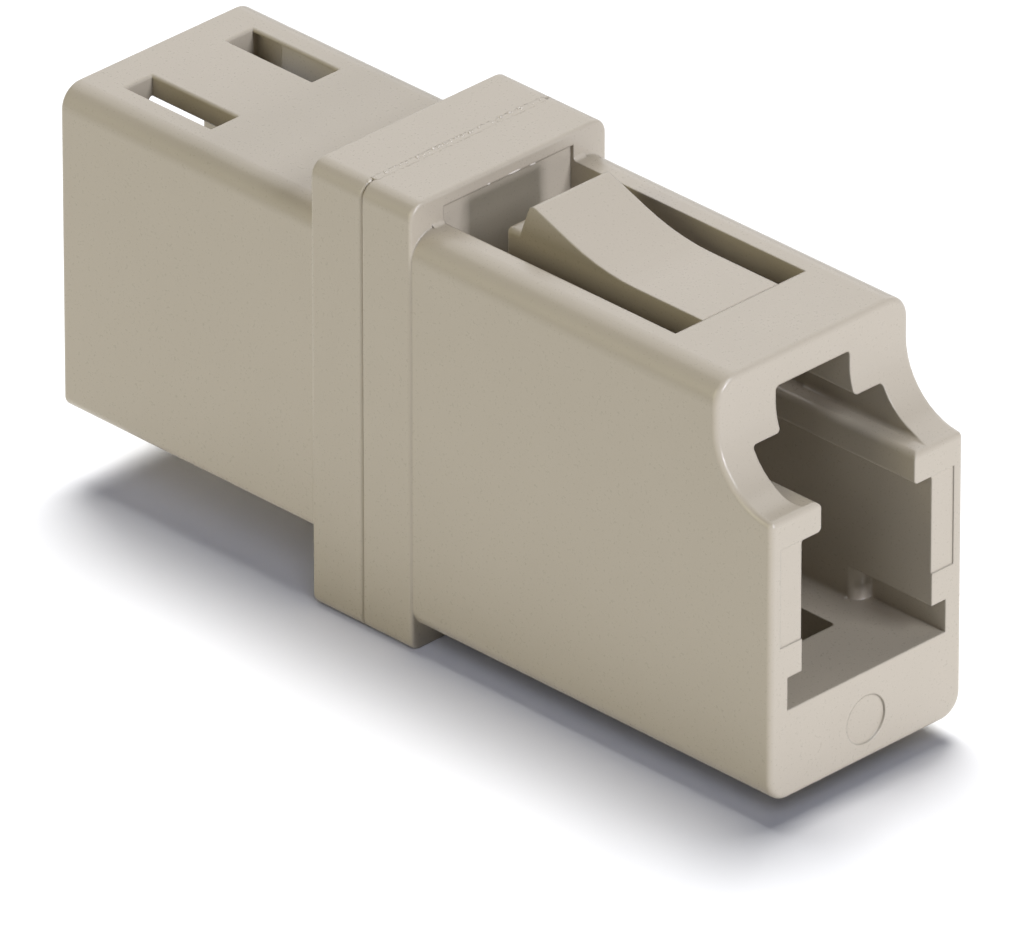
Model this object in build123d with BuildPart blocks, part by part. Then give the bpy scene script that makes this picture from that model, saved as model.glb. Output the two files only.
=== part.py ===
"""Simplex fibre optic adapter: two welded housing halves, a sprung panel latch and a split sleeve.

Millimetres. +X runs along the plugs towards the front mouth, Y is across and +Z is up. The origin
is the middle of the alignment sleeve, on its axis and on the weld plane between the two halves.
"""
from build123d import *
import os
from math import radians, tan

# Plug port, the same in both halves
port_width = 4.60
port_height = 4.64
rail_gap = 3.30
rail_height = 0.84
ear_width = 4.56
ear_height = 1.13
mouth_corner_r = 0.12
rail_edge_r = 0.20
side_wall = 1.10

# Front half
front_length = 14.32
front_floor = 2.53
front_lever_width = 2.60
front_lever_height = 1.21
front_roof = 0.89
front_top_edge_r = 0.72
front_bottom_edge_r = 0.65
cove_radius = 1.93
cove_edge_r = 0.16

# Rear half
rear_length = 10.915
rear_floor = 1.04
rear_lever_width = 2.90
rear_lever_height = 0.965
rear_roof = 0.585
rear_top_edge_r = 0.65
rear_bottom_edge_r = 0.30
rear_end_edge_r = 0.12

# Flange, half of it on each side of the weld plane
flange_front = 1.74
flange_rear = 1.82
flange_side_lip = 0.055
flange_top_lip = 0.84
flange_bottom_lip = 0.64
flange_top_edge_r = 0.45
flange_bottom_edge_r = 0.35
flange_rim_r = 0.10
flange_root_r = 0.12
seam_bevel = 0.05

# Latch windows
window_length = 8.13
rear_window_length = 3.07
rear_window_width = 0.91
rear_window_pitch = 3.55
rear_window_wall = 1.205
ear_relief_length = 1.03
rear_window_edge_r = 0.08
ear_relief_depth = 0.20
ear_relief_skin = 0.10
backset_height = 0.45
backset_depth = 0.10

# Panel latch tongue
latch_width = 2.66
latch_gap = 1.23
latch_step = 0.53
catch_lean = 0.35
catch_height = 0.94
ramp_angle = 20.6
ramp_foot_r = 6.6
latch_edge_r = 0.17
latch_corner_r = 0.15

# Details of the front mouth
notch_depth = 0.50
notch_height = 0.935
notch_length = 2.57
notch_end_r = 0.06
notch_lead_r = 0.35
pocket_width = 2.26
pocket_length = 7.60
pocket_depth = 1.43
pocket_setback = 2.22
recess_margin = 0.34
recess_height = 2.79
recess_depth = 0.035
ejector_drop = 1.38
ejector_radius = 0.675
ejector_depth = 0.06

# Alignment sleeve and the holder tubes moulded in the halves
sleeve_bore_radius = 0.623
sleeve_wall = 0.217
sleeve_length = 6.80
sleeve_slit = 0.35
sleeve_side_clearance = 0.05
sleeve_end_clearance = 0.10
holder_wall = 0.39
holder_lip = 0.65
holder_mouth_radius = 0.78
holder_chamfer = 0.15

# Locating pegs on the weld face
peg_radius = 0.45
peg_length = 0.90
peg_clearance = 0.05
peg_inset = 1.05

# Heights and places that follow from the sizes above
port_top = port_height / 2
floor_z = -port_height / 2
rail_top = port_top + rail_height
ear_top = rail_top + ear_height
front_top = ear_top + front_lever_height + front_roof
front_bottom = floor_z - front_floor
rear_top = ear_top + rear_lever_height + rear_roof
rear_bottom = floor_z - rear_floor
body_width = port_width + 2 * side_wall
flange_width = body_width + 2 * flange_side_lip
notch_width = port_width + 2 * notch_depth
recess_width = body_width - 2 * recess_margin
flange_top = front_top + flange_top_lip
flange_bottom = front_bottom - flange_bottom_lip
window_end = flange_front + window_length
latch_root_z = front_top - front_roof
sleeve_radius = sleeve_bore_radius + sleeve_wall
holder_bore_radius = sleeve_radius + sleeve_side_clearance
holder_radius = holder_bore_radius + holder_wall
holder_bore_end = sleeve_length / 2 + sleeve_end_clearance
holder_end = holder_bore_end + holder_lip
peg_spots = [
    (flange_width / 2 - peg_inset, flange_top - peg_inset),
    (peg_inset - flange_width / 2, flange_bottom + peg_inset),
]
# Cuts run this far past the face that they open
overcut = 1.0
# Edges are found by their place to within this distance
place_slack = 0.01

os.makedirs("parts", exist_ok=True)


def rounded_section(width, bottom, top, bottom_r, top_r):
    """Draws a moulding's outer section on the current sketch, with rounded lower and upper edges."""
    with Locations((0, (bottom + top) / 2)):
        Rectangle(width, top - bottom)
    fillet(vertices().group_by(Axis.Y)[0], bottom_r)
    fillet(vertices().group_by(Axis.Y)[-1], top_r)


def on_rail(corner):
    """Is this corner of the port's section the upper edge of a rail, which the latch ears slide over?"""
    return abs(corner.Y - rail_top) < place_slack and abs(corner.X) < rail_gap / 2 + place_slack


def port_section(lever_width, lever_height):
    """Draws the plug port's section: square body, rails, latch ears and the lever slot above."""
    bottom_middle = (Align.CENTER, Align.MIN)
    with Locations((0, floor_z)):
        Rectangle(port_width, port_height, align=bottom_middle)
    with Locations((0, port_top)):
        Rectangle(rail_gap, rail_height, align=bottom_middle)
    with Locations((0, rail_top)):
        Rectangle(ear_width, ear_height, align=bottom_middle)
    with Locations((0, ear_top)):
        Rectangle(lever_width, lever_height, align=bottom_middle)
    fillet(vertices().filter_by(lambda corner: not on_rail(corner)), mouth_corner_r)
    fillet(vertices().filter_by(on_rail), rail_edge_r)


def flange_half(thickness):
    """Makes one half of the flange from the weld plane outwards, with a fine bevel at the seam."""
    with BuildPart() as half:
        with BuildSketch(Plane.YZ):
            rounded_section(flange_width, flange_bottom, flange_top, flange_bottom_edge_r, flange_top_edge_r)
        extrude(amount=thickness)
        seam_face, rim_face = faces().filter_by(Axis.X).sort_by(lambda f: abs(f.center().X))
        chamfer(seam_face.edges(), seam_bevel)
        fillet(rim_face.edges(), flange_rim_r)
    return half.part


front_flange = flange_half(flange_front)
rear_flange = flange_half(-flange_rear)

# Front housing half
with BuildPart() as front_housing:
    add(front_flange)
    with BuildSketch(Plane.YZ):
        rounded_section(body_width, front_bottom, front_top, front_bottom_edge_r, front_top_edge_r)
    extrude(amount=front_length)

    # The finger cove sweeps the upper part of the mouth back to the roof
    cove_z = rail_top + cove_radius
    cove_x = front_length - cove_radius
    with BuildSketch(Plane.XZ):
        with BuildLine():
            Line((front_length, rail_top), (front_length + overcut, rail_top))
            Line((front_length + overcut, rail_top), (front_length + overcut, front_top + overcut))
            Line((front_length + overcut, front_top + overcut), (cove_x, front_top + overcut))
            Line((cove_x, front_top + overcut), (cove_x, cove_z))
            RadiusArc((cove_x, cove_z), (front_length, rail_top), -cove_radius)
        make_face()
    extrude(amount=body_width, both=True, mode=Mode.SUBTRACT)
    mouth_edges = edges().filter_by(lambda e: e.bounding_box().min.X > cove_x - place_slack)
    # The nearest of them is no corner: there the cove runs smoothly into its upright part
    mouth_edges = mouth_edges.sort_by_distance((cove_x, 0, cove_z))[1:]
    fillet(mouth_edges, cove_edge_r)

    # Small root fillet between the flange and the roof
    with BuildSketch(Plane.XZ):
        with Locations((flange_front + flange_root_r / 2, front_top + flange_root_r / 2)):
            Rectangle(flange_root_r, flange_root_r)
        with Locations((flange_front + flange_root_r, front_top + flange_root_r)):
            Circle(flange_root_r, mode=Mode.SUBTRACT)
    extrude(amount=body_width / 2 - front_top_edge_r, both=True)

    # Plug port from the web to the mouth
    with BuildSketch(Plane.YZ.offset(flange_front)):
        port_section(front_lever_width, front_lever_height)
    extrude(amount=front_length, mode=Mode.SUBTRACT)

    # Latch window through the roof
    with BuildSketch(Plane.XY.offset(rail_top)):
        with Locations((flange_front, 0)):
            Rectangle(window_length, ear_width, align=(Align.MIN, Align.CENTER))
    extrude(amount=front_top, mode=Mode.SUBTRACT)

    # The flange's face is set back behind the window
    with BuildSketch(Plane.XY.offset(rail_top)):
        with Locations((flange_front, 0)):
            Rectangle(backset_depth, ear_width, align=(Align.MAX, Align.CENTER))
    extrude(amount=front_top + backset_height - rail_top, mode=Mode.SUBTRACT)

    # Relief notches in the lower corners of the mouth, with a rounded lead into the port's walls
    notch_start = front_length - notch_length
    with BuildSketch(Plane.XY.offset(floor_z)):
        with Locations((notch_start, 0)):
            Rectangle(notch_length + overcut, notch_width, align=(Align.MIN, Align.CENTER))
            Rectangle(notch_lead_r + place_slack, port_width, align=(Align.MAX, Align.CENTER))
        end_corners = vertices().filter_by(lambda v: abs(v.X - notch_start) < place_slack)
        fillet(end_corners.sort_by(lambda v: abs(v.Y))[:2], notch_lead_r)
        fillet(vertices().filter_by(lambda v: abs(v.Y) > notch_width / 2 - place_slack), notch_end_r)
    extrude(amount=notch_height, mode=Mode.SUBTRACT)

    # Cored pocket in the thick floor
    with BuildSketch(Plane.XY.offset(floor_z)):
        with Locations((front_length - pocket_setback, 0)):
            RectangleRounded(pocket_length, pocket_width, mouth_corner_r, align=(Align.MAX, Align.CENTER))
    extrude(amount=-pocket_depth, mode=Mode.SUBTRACT)

    # Shallow recess in the side wall ends and the ejector mark below the port
    with BuildSketch(Plane.YZ.offset(front_length)):
        with Locations((0, port_top)):
            Rectangle(recess_width, recess_height, align=(Align.CENTER, Align.MAX))
    extrude(amount=-recess_depth, mode=Mode.SUBTRACT)
    with BuildSketch(Plane.YZ.offset(front_length)):
        with Locations((0, floor_z - ejector_drop)):
            Circle(ejector_radius)
    extrude(amount=-ejector_depth, mode=Mode.SUBTRACT)

    # Sleeve holder tube and its bore
    with BuildSketch(Plane.YZ):
        Circle(holder_radius)
    extrude(amount=holder_end)
    tube_end = edges().filter_by(GeomType.CIRCLE).filter_by_position(
        Axis.X, holder_end - place_slack, holder_end + place_slack
    )
    chamfer(tube_end, holder_chamfer)
    with BuildSketch(Plane.YZ):
        Circle(holder_bore_radius)
    extrude(amount=holder_bore_end, mode=Mode.SUBTRACT)
    with BuildSketch(Plane.YZ):
        Circle(holder_mouth_radius)
    extrude(amount=holder_end, mode=Mode.SUBTRACT)

    # Sockets for the locating pegs
    with BuildSketch(Plane.YZ):
        with Locations(*peg_spots):
            Circle(peg_radius + peg_clearance)
    extrude(amount=peg_length + peg_clearance, mode=Mode.SUBTRACT)

front_housing.part.label = "front_housing"
export_step(front_housing.part, "parts/front_housing.step")

# Rear housing half
with BuildPart() as rear_housing:
    add(rear_flange)
    with BuildSketch(Plane.YZ):
        rounded_section(body_width, rear_bottom, rear_top, rear_bottom_edge_r, rear_top_edge_r)
    extrude(amount=-rear_length)
    fillet(faces().sort_by(Axis.X)[0].edges(), rear_end_edge_r)

    # Plug port from the web to the rear mouth
    with BuildSketch(Plane.YZ.offset(-flange_rear)):
        port_section(rear_lever_width, rear_lever_height)
    extrude(amount=-rear_length, mode=Mode.SUBTRACT)

    # Two windows in the roof that the plug's latch ears snap into
    with BuildSketch(Plane.XY.offset(rail_top)):
        with Locations((rear_window_wall - rear_length, 0)):
            with GridLocations(0, rear_window_pitch, 1, 2):
                Rectangle(rear_window_length, rear_window_width, align=(Align.MIN, Align.CENTER))
    extrude(amount=rear_top, mode=Mode.SUBTRACT)
    roof = faces().filter_by(Axis.Z).sort_by_distance((-rear_length, 0, rear_top))[0]
    fillet(roof.inner_wires().edges(), rear_window_edge_r)

    # Side room for the latch ears under the roof's skin
    with BuildSketch(Plane.XY.offset(rail_top)):
        with Locations((rear_window_wall - rear_length, 0)):
            with GridLocations(0, rear_window_pitch + rear_window_width + ear_relief_depth, 1, 2):
                Rectangle(ear_relief_length, ear_relief_depth, align=(Align.MIN, Align.CENTER))
    extrude(amount=rear_top - ear_relief_skin - rail_top, mode=Mode.SUBTRACT)

    # Sleeve holder tube and its bore
    with BuildSketch(Plane.YZ):
        Circle(holder_radius)
    extrude(amount=-holder_end)
    tube_end = edges().filter_by(GeomType.CIRCLE).filter_by_position(
        Axis.X, -holder_end - place_slack, -holder_end + place_slack
    )
    chamfer(tube_end, holder_chamfer)
    with BuildSketch(Plane.YZ):
        Circle(holder_bore_radius)
    extrude(amount=-holder_bore_end, mode=Mode.SUBTRACT)
    with BuildSketch(Plane.YZ):
        Circle(holder_mouth_radius)
    extrude(amount=-holder_end, mode=Mode.SUBTRACT)

    # Locating pegs that enter the front half
    with BuildSketch(Plane.YZ):
        with Locations(*peg_spots):
            Circle(peg_radius)
    extrude(amount=peg_length)

rear_housing.part.label = "rear_housing"
export_step(rear_housing.part, "parts/rear_housing.step")

# Panel latch tongue, moulded in one with the front half and hinged at its root
latch_end = flange_front + latch_gap
catch_foot = latch_end + latch_step
peak_x = catch_foot + catch_lean
peak_z = front_top + catch_height
ramp_foot = peak_x + catch_height / tan(radians(ramp_angle))
with BuildPart() as panel_latch:
    with BuildSketch(Plane.XZ):
        with BuildLine():
            Polyline(
                (window_end, latch_root_z),
                (latch_end, latch_root_z),
                (latch_end, front_top),
                (catch_foot, front_top),
                (peak_x, peak_z),
                (ramp_foot, front_top),
                (window_end, front_top),
                close=True,
            )
        make_face()
        fillet(vertices().sort_by_distance((ramp_foot, front_top))[0], ramp_foot_r)
        fillet(vertices().sort_by_distance((peak_x, peak_z))[0], latch_edge_r)
        fillet(vertices().sort_by_distance((latch_end, front_top))[0], latch_edge_r)
    extrude(amount=latch_width / 2, both=True)
    fillet(edges().filter_by(Axis.Z).group_by(Axis.X)[0], latch_corner_r)

panel_latch.part.label = "panel_latch"
export_step(panel_latch.part, "parts/panel_latch.step")

# Split alignment sleeve that grips both ferrules
with BuildPart() as alignment_sleeve:
    with BuildSketch(Plane.YZ):
        Circle(sleeve_radius)
        Circle(sleeve_bore_radius, mode=Mode.SUBTRACT)
        Rectangle(sleeve_slit, 2 * sleeve_radius, align=(Align.CENTER, Align.MIN), mode=Mode.SUBTRACT)
    extrude(amount=sleeve_length / 2, both=True)

alignment_sleeve.part.label = "alignment_sleeve"
export_step(alignment_sleeve.part, "parts/alignment_sleeve.step")
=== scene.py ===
"""Looks of the fibre optic adapter: moulded beige plastic, a bronze sleeve, a pale studio floor."""

import math
import random

import bmesh
import bpy
from mathutils import Matrix, Vector


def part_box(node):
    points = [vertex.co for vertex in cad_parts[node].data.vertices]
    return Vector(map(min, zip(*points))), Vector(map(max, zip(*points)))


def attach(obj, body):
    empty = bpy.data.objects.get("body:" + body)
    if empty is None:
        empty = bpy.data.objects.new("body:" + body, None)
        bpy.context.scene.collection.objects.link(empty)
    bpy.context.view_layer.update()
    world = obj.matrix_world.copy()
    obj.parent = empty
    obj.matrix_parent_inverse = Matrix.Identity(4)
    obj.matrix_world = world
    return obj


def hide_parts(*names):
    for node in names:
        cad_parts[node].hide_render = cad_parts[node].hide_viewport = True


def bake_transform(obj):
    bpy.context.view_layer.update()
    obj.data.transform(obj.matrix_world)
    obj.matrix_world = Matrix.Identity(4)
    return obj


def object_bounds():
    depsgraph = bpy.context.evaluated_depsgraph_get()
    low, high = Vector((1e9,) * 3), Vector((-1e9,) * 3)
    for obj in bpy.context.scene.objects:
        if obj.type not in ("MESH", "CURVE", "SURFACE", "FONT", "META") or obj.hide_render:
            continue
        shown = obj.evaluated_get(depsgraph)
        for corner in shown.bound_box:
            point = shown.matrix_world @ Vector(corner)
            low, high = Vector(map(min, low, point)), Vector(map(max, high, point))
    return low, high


MM = 0.001

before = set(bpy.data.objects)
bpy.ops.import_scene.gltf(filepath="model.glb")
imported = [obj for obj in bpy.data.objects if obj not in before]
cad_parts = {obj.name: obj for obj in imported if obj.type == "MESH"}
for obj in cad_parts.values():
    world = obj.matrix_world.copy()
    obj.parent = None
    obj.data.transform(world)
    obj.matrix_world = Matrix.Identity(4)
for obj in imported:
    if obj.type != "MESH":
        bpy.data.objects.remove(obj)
cad_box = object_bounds()
scene = bpy.context.scene


# Camera, fitted to the straight edges of the photograph in its 1023 by 926 frame
PHOTO_WIDTH = 1023
FOCAL_PIXELS = 22527.6
SENSOR_WIDTH = 36.0
CAMERA_AZIMUTH = 45.19
CAMERA_ELEVATION = 29.12
CAMERA_ROLL = -0.041
CAMERA_PLACE = Vector((352.67, -348.52, 274.14)) * MM
CLIP_START = 0.05
CLIP_END = 20.0


def make_camera():
    """Places the long lens that looks down on the side, the roof and the front mouth."""
    azimuth = math.radians(CAMERA_AZIMUTH)
    elevation = math.radians(CAMERA_ELEVATION)
    back = Vector((
        math.sin(azimuth) * math.cos(elevation),
        -math.cos(azimuth) * math.cos(elevation),
        math.sin(elevation),
    ))
    right = Vector((math.cos(azimuth), math.sin(azimuth), 0.0))
    up = back.cross(right)
    roll = Matrix.Rotation(math.radians(CAMERA_ROLL), 3, "Z")
    turn = Matrix((right, up, back)).transposed() @ roll
    data = bpy.data.cameras.new("camera")
    data.sensor_width = SENSOR_WIDTH
    data.lens = FOCAL_PIXELS / PHOTO_WIDTH * SENSOR_WIDTH
    data.clip_start = CLIP_START
    data.clip_end = CLIP_END
    camera = bpy.data.objects.new("camera", data)
    camera.matrix_world = Matrix.Translation(CAMERA_PLACE) @ turn.to_4x4()
    scene.collection.objects.link(camera)
    scene.camera = camera


# Softboxes: name, place and side in metres, and watts of red, green and blue
SOFTBOXES = (
    ("back_softbox", (-0.20, 0.20, 0.30), 0.55, (1.42, 1.37, 1.37)),
    ("side_softbox", (-0.10, -0.33, 0.14), 0.20, (0.44, 0.41, 0.29)),
    ("front_softbox", (0.38, 0.012, 0.10), 0.06, (0.77, 0.77, 0.87)),
    ("high_softbox", (0.30, 0.05, 0.25), 0.15, (0.64, 0.67, 0.73)),
    ("edge_softbox", (0.14, -0.30, 0.18), 0.06, (0.06, 0.06, 0.06)),
)
# The floor's own: one high behind the object throws the soft shadow, and a weak one fills it
FLOOR_SOFTBOXES = (
    ("floor_softbox", (-0.093, 0.093, 0.43), 0.24, (2.75, 2.75, 2.75)),
    ("floor_fill", (0.25, -0.25, 0.30), 0.30, (0.47, 0.50, 0.62)),
)


def softbox(name, place, size, watts):
    """Adds a square lamp at place that faces the object."""
    power = max(watts)
    data = bpy.data.lights.new(name, "AREA")
    data.shape = "SQUARE"
    data.size = size
    data.energy = power
    data.color = [channel / power for channel in watts]
    light = bpy.data.objects.new(name, data)
    place = Vector(place)
    turn = place.to_track_quat("Z", "Y").to_matrix()
    light.matrix_world = Matrix.Translation(place) @ turn.to_4x4()
    light.visible_camera = False
    scene.collection.objects.link(light)
    return light


def link_lamp(light, floor, state):
    """Lets a lamp light the floor alone (INCLUDE) or everything but the floor (EXCLUDE)."""
    group = bpy.data.collections.new(light.name + "_receivers")
    group.objects.link(floor)
    group.collection_objects[0].light_linking.link_state = state
    light.light_linking.receiver_collection = group


def make_world():
    """A surround that is white to the camera, in reflections and through glass, and adds no more."""
    world = bpy.data.worlds.new("studio")
    scene.world = world
    world.use_nodes = True
    nodes = world.node_tree.nodes
    links = world.node_tree.links
    background = nodes["Background"]
    background.inputs["Color"].default_value = (1.0, 1.0, 1.0, 1.0)
    path = nodes.new("ShaderNodeLightPath")
    strength = path.outputs["Is Camera Ray"]
    for ray in ("Is Glossy Ray", "Is Transmission Ray"):
        either = nodes.new("ShaderNodeMath")
        either.operation = "MAXIMUM"
        links.new(strength, either.inputs[0])
        links.new(path.outputs[ray], either.inputs[1])
        strength = either.outputs["Value"]
    links.new(strength, background.inputs["Strength"])


# White floor, in metres
FLOOR_HALF = 1.0
FLOOR_COLOUR = (0.95, 0.95, 0.95, 1.0)


def make_floor():
    """A white sheet at the height of the flange's foot."""
    level = cad_box[0][2]
    corners = [
        (-FLOOR_HALF, -FLOOR_HALF, level),
        (FLOOR_HALF, -FLOOR_HALF, level),
        (FLOOR_HALF, FLOOR_HALF, level),
        (-FLOOR_HALF, FLOOR_HALF, level),
    ]
    mesh = bpy.data.meshes.new("floor")
    mesh.from_pydata(corners, [], [(0, 1, 2, 3)])
    floor = bpy.data.objects.new("floor", mesh)
    scene.collection.objects.link(floor)
    material = bpy.data.materials.new("floor_white")
    material.use_nodes = True
    tree = material.node_tree
    tree.nodes.remove(tree.nodes["Principled BSDF"])
    sheet = tree.nodes.new("ShaderNodeBsdfDiffuse")
    sheet.inputs["Color"].default_value = FLOOR_COLOUR
    tree.links.new(sheet.outputs["BSDF"], tree.nodes["Material Output"].inputs["Surface"])
    floor.data.materials.append(material)
    return floor


# Blender's noise lies mostly between these
NOISE_LOW = 0.3
NOISE_HIGH = 0.7


def new_material(name):
    """Starts a node material and returns it with its tree and its main shader."""
    material = bpy.data.materials.new(name)
    material.use_nodes = True
    tree = material.node_tree
    return material, tree, tree.nodes["Principled BSDF"]


def millimetre_coordinates(tree):
    """Object coordinates in millimetres, so that texture scales read as features per millimetre."""
    coordinates = tree.nodes.new("ShaderNodeTexCoord")
    scale = tree.nodes.new("ShaderNodeVectorMath")
    scale.operation = "SCALE"
    scale.inputs["Scale"].default_value = 1 / MM
    tree.links.new(coordinates.outputs["Object"], scale.inputs[0])
    return scale.outputs["Vector"]


def noise(tree, vector, per_mm, detail=2.0, roughness=0.5):
    """A noise texture of the given number of features per millimetre."""
    texture = tree.nodes.new("ShaderNodeTexNoise")
    texture.inputs["Scale"].default_value = per_mm
    texture.inputs["Detail"].default_value = detail
    texture.inputs["Roughness"].default_value = roughness
    tree.links.new(vector, texture.inputs["Vector"])
    return texture.outputs["Fac"]


def map_range(tree, value, low, high):
    """Spreads a noise's middle range over low to high."""
    node = tree.nodes.new("ShaderNodeMapRange")
    node.inputs["From Min"].default_value = NOISE_LOW
    node.inputs["From Max"].default_value = NOISE_HIGH
    node.inputs["To Min"].default_value = low
    node.inputs["To Max"].default_value = high
    tree.links.new(value, node.inputs["Value"])
    return node.outputs["Result"]


def mix_colours(tree, factor, first, second):
    """Mixes two colours, each a tuple or an output, by a factor output."""
    node = tree.nodes.new("ShaderNodeMix")
    node.data_type = "RGBA"
    tree.links.new(factor, node.inputs["Factor"])
    for name, colour in (("A", first), ("B", second)):
        socket = [s for s in node.inputs if s.name == name and s.type == "RGBA"][0]
        if isinstance(colour, tuple):
            socket.default_value = colour
        else:
            tree.links.new(colour, socket)
    return [s for s in node.outputs if s.type == "RGBA"][0]


# Moulded beige plastic. The pairs are spreads of a noise: of the clouds' share, the grain's share
# and the roughness
BEIGE_LIGHT = (0.440, 0.394, 0.318, 1.0)
BEIGE_DARK = (0.410, 0.365, 0.290, 1.0)
BEIGE_IOR = 1.5
BEIGE_ROUGHNESS = (0.26, 0.34)
CLOUD_PER_MM = 0.45
CLOUD_SHARE = (0.35, 0.65)
GRAIN_PER_MM = 14.0
GRAIN_ROUGHNESS = 0.6
GRAIN_SHARE = (0.0, 0.5)
GRAIN_DEPTH = 0.004 * MM
GRAIN_STRENGTH = 0.35
FINE_DETAIL = 3.0
EDGE_ROUNDING = 0.08 * MM
EDGE_SAMPLES = 8


def beige_plastic():
    """Satin moulded plastic: faint flow clouding, spark-eroded grain and softened edges."""
    material, tree, shader = new_material("beige_plastic")
    vector = millimetre_coordinates(tree)
    cloud = noise(tree, vector, CLOUD_PER_MM, FINE_DETAIL)
    grain = noise(tree, vector, GRAIN_PER_MM, FINE_DETAIL, GRAIN_ROUGHNESS)
    tone = mix_colours(tree, map_range(tree, cloud, *CLOUD_SHARE), BEIGE_DARK, BEIGE_LIGHT)
    speck = mix_colours(tree, map_range(tree, grain, *GRAIN_SHARE), tone, BEIGE_DARK)
    tree.links.new(speck, shader.inputs["Base Color"])
    tree.links.new(map_range(tree, grain, *BEIGE_ROUGHNESS), shader.inputs["Roughness"])
    shader.inputs["IOR"].default_value = BEIGE_IOR
    bevel = tree.nodes.new("ShaderNodeBevel")
    bevel.samples = EDGE_SAMPLES
    bevel.inputs["Radius"].default_value = EDGE_ROUNDING
    bump = tree.nodes.new("ShaderNodeBump")
    bump.inputs["Strength"].default_value = GRAIN_STRENGTH
    bump.inputs["Distance"].default_value = GRAIN_DEPTH
    tree.links.new(grain, bump.inputs["Height"])
    tree.links.new(bevel.outputs["Normal"], bump.inputs["Normal"])
    tree.links.new(bump.outputs["Normal"], shader.inputs["Normal"])
    return material


# Phosphor bronze of the split sleeve, with rolling lines drawn out along X
BRONZE_BRIGHT = (0.78, 0.50, 0.30, 1.0)
BRONZE_DULL = (0.62, 0.38, 0.22, 1.0)
BRONZE_ROUGHNESS = (0.22, 0.36)
LINES_PER_MM = (0.4, 12.0, 12.0)


def sleeve_bronze():
    """Rolled bronze strip with faint lines along its length."""
    material, tree, shader = new_material("sleeve_bronze")
    stretch = tree.nodes.new("ShaderNodeVectorMath")
    stretch.operation = "MULTIPLY"
    stretch.inputs[1].default_value = LINES_PER_MM
    tree.links.new(millimetre_coordinates(tree), stretch.inputs[0])
    lines = noise(tree, stretch.outputs["Vector"], 1.0, FINE_DETAIL)
    tone = mix_colours(tree, lines, BRONZE_DULL, BRONZE_BRIGHT)
    tree.links.new(tone, shader.inputs["Base Color"])
    tree.links.new(map_range(tree, lines, *BRONZE_ROUGHNESS), shader.inputs["Roughness"])
    shader.inputs["Metallic"].default_value = 1.0
    return material


def dress(piece, material):
    """Gives a piece one material in every slot."""
    piece.data.materials.clear()
    piece.data.materials.append(material)


# The tongue bends over this length next to its root
FLEX_LENGTH = 3.2 * MM
FLEX_CUTS = 10


def flexing_latch(material):
    """The moulded latch tongue, cut into strips near its root so that it can bend smoothly."""
    low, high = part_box("panel_latch")
    root_x = high[0]
    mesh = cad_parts["panel_latch"].data.copy()
    mesh.name = "latch_tongue"
    work = bmesh.new()
    work.from_mesh(mesh)
    for step in range(1, FLEX_CUTS + 1):
        x = root_x - FLEX_LENGTH * step / FLEX_CUTS
        everything = work.verts[:] + work.edges[:] + work.faces[:]
        bmesh.ops.bisect_plane(work, geom=everything, plane_co=(x, 0, 0), plane_no=(1, 0, 0))
    work.to_mesh(mesh)
    work.free()
    tongue = bpy.data.objects.new("latch_tongue", mesh)
    scene.collection.objects.link(tongue)
    dress(tongue, material)
    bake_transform(tongue)
    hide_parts("panel_latch")


# Melt of the weld on the flange's top: a ridge made of stations along the seam, each with points
# at these parts of the half width. It falls off to its sides and has a few pits
FLASH_TOP = 7.23 * MM
SEAM_HALF_WIDTH = 0.19 * MM
SEAM_HALF_LENGTH = 3.02 * MM
SEAM_ROOT = 0.09 * MM
SEAM_STATIONS = 130
SEAM_OFFSETS = (-1.0, -0.55, 0.0, 0.55, 1.0)
SEAM_SEED = 4
# The ridge's rise, its fall at the sides and the pits' depth in millimetres, and the pitted share
SEAM_RISE = (0.001, 0.004)
SEAM_FALL = 0.006
PIT_DEPTH = 0.015
PIT_SHARE = 0.04

# Beads of melt along the seam and under the flange's front edge, in millimetres: x, y, z, radius
# and half length
BEADS = (
    (-0.03, -3.13, 7.19, 0.055, 0.060),
    (-0.04, -1.45, 7.23, 0.036, 0.040),
    (-0.08, -0.86, 7.23, 0.034, 0.050),
    (-0.02, 0.37, 7.23, 0.034, 0.036),
    (-0.06, 1.50, 7.23, 0.034, 0.040),
    (-0.08, 1.83, 7.23, 0.032, 0.060),
    (-0.09, 2.18, 7.23, 0.030, 0.060),
    (1.725, -0.70, 6.87, 0.032, 0.070),
    (1.725, 0.20, 6.87, 0.034, 0.260),
    (1.725, 0.85, 6.84, 0.030, 0.130),
)
# Fine grains of melt scattered along the seam, in millimetres
GRAINS = 40
GRAIN_X = (-0.10, 0.02)
GRAIN_Y = (-2.9, 2.9)
GRAIN_Z = 7.23
GRAIN_RADIUS = (0.012, 0.026)
GRAIN_HALF_LENGTH = 0.03
GRAIN_SEED = 7

# Tones of the beads: the melt's own paler tone, lifted further by a painted highlight so that the
# beads read as glinting specks
PALE_MELT_AND_GLINT = (0.64, 0.60, 0.53, 1.0)
DULL_MELT_AND_GLINT = (0.56, 0.52, 0.45, 1.0)
MELT_ROUGHNESS = (0.34, 0.44)
MELT_PATCHES_PER_MM = 9.0


def melt_and_glint_plastic():
    """The same plastic where it has melted, with a fine unevenness. Its pale tone is partly the
    melt's own and partly a painted highlight that makes the beads glint.
    """
    material, tree, shader = new_material("melt_and_glint_plastic")
    patches = noise(tree, millimetre_coordinates(tree), MELT_PATCHES_PER_MM)
    tone = mix_colours(tree, patches, DULL_MELT_AND_GLINT, PALE_MELT_AND_GLINT)
    tree.links.new(tone, shader.inputs["Base Color"])
    tree.links.new(map_range(tree, patches, *MELT_ROUGHNESS), shader.inputs["Roughness"])
    return material


def show(name, mesh, material):
    """Adds a mesh that belongs to the housing and moves with it."""
    mesh.shade_smooth()
    piece = bpy.data.objects.new(name, mesh)
    scene.collection.objects.link(piece)
    dress(piece, material)
    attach(piece, "adapter")


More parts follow.
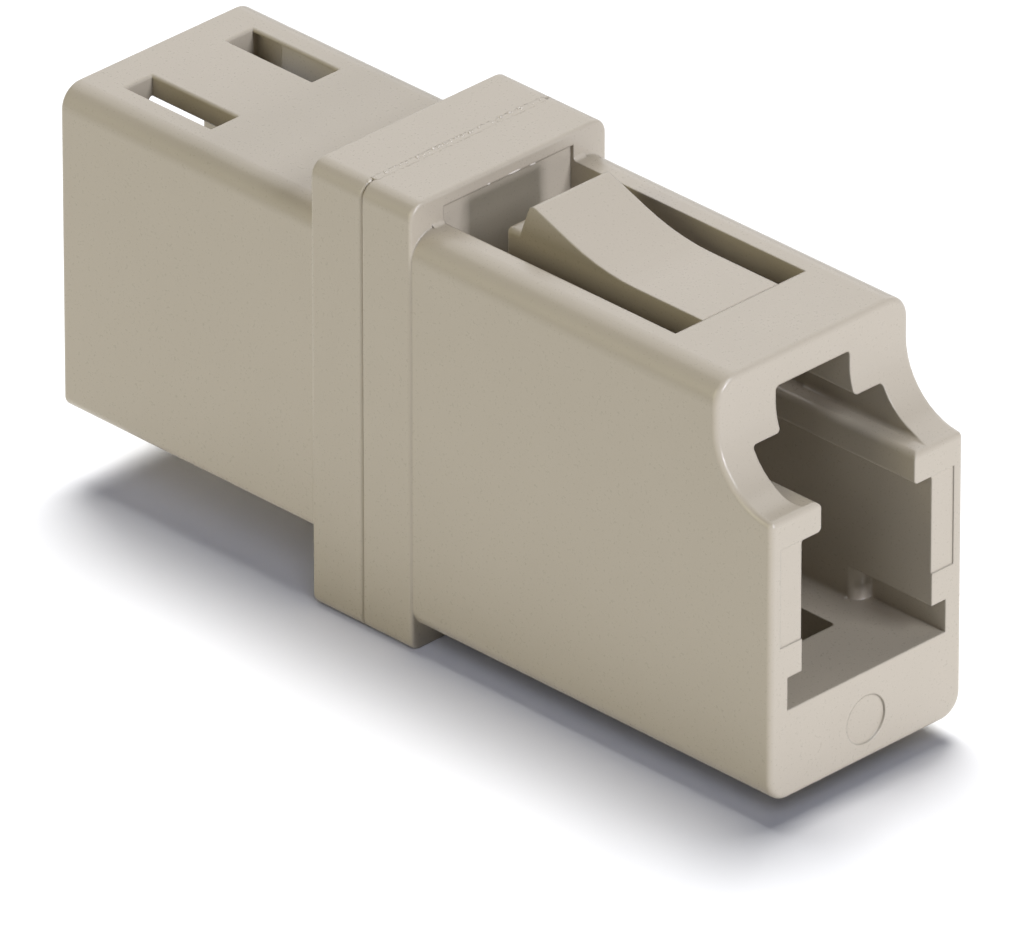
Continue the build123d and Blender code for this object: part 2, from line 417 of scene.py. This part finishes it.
def weld_seam(material):
    """A thin uneven ridge of melt that fills the seam on the flange's top."""
    dice = random.Random(SEAM_SEED)
    verts, faces = [], []
    for station in range(SEAM_STATIONS):
        y = SEAM_HALF_LENGTH * (2 * station / (SEAM_STATIONS - 1) - 1)
        pit = PIT_DEPTH if dice.random() < PIT_SHARE else 0.0
        for offset in SEAM_OFFSETS:
            rise = dice.uniform(*SEAM_RISE) - pit - SEAM_FALL * offset * offset
            verts.append((offset * SEAM_HALF_WIDTH, y, FLASH_TOP + rise * MM))
        verts.append((0.0, y, FLASH_TOP - SEAM_ROOT))
    ring = len(SEAM_OFFSETS) + 1
    last = (SEAM_STATIONS - 1) * ring
    for start in range(0, last, ring):
        for point in range(ring):
            a = start + point
            b = start + (point + 1) % ring
            faces.append((a, b, b + ring, a + ring))
    faces += [tuple(range(ring - 1, -1, -1)), tuple(range(last, last + ring))]
    mesh = bpy.data.meshes.new("weld_flash")
    mesh.from_pydata(verts, [], faces)
    work = bmesh.new()
    work.from_mesh(mesh)
    bmesh.ops.recalc_face_normals(work, faces=work.faces[:])
    work.to_mesh(mesh)
    work.free()
    show("weld_flash", mesh, material)


def weld_beads(material):
    """Drops and grains of melt that stand out along the seam and under the flange's front edge."""
    dice = random.Random(GRAIN_SEED)
    drops = list(BEADS)
    for _ in range(GRAINS):
        x, y, radius = dice.uniform(*GRAIN_X), dice.uniform(*GRAIN_Y), dice.uniform(*GRAIN_RADIUS)
        drops.append((x, y, GRAIN_Z, radius, GRAIN_HALF_LENGTH))
    mesh = bpy.data.meshes.new("weld_beads")
    work = bmesh.new()
    for x, y, z, radius, half_length in drops:
        shape = Matrix.Diagonal((radius * MM, half_length * MM, radius * MM, 1.0))
        place = Matrix.Translation(Vector((x, y, z)) * MM)
        bmesh.ops.create_icosphere(work, subdivisions=2, radius=1.0, matrix=place @ shape)
    work.to_mesh(mesh)
    work.free()
    show("weld_beads", mesh, material)


make_camera()
make_world()
floor = make_floor()
for box in FLOOR_SOFTBOXES:
    link_lamp(softbox(*box), floor, "INCLUDE")
for box in SOFTBOXES:
    link_lamp(softbox(*box), floor, "EXCLUDE")

beige = beige_plastic()
for name in ("front_housing", "rear_housing"):
    dress(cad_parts[name], beige)
dress(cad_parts["alignment_sleeve"], sleeve_bronze())
flexing_latch(beige)
weld_seam(beige)
weld_beads(melt_and_glint_plastic())

scene.view_settings.view_transform = "Standard"
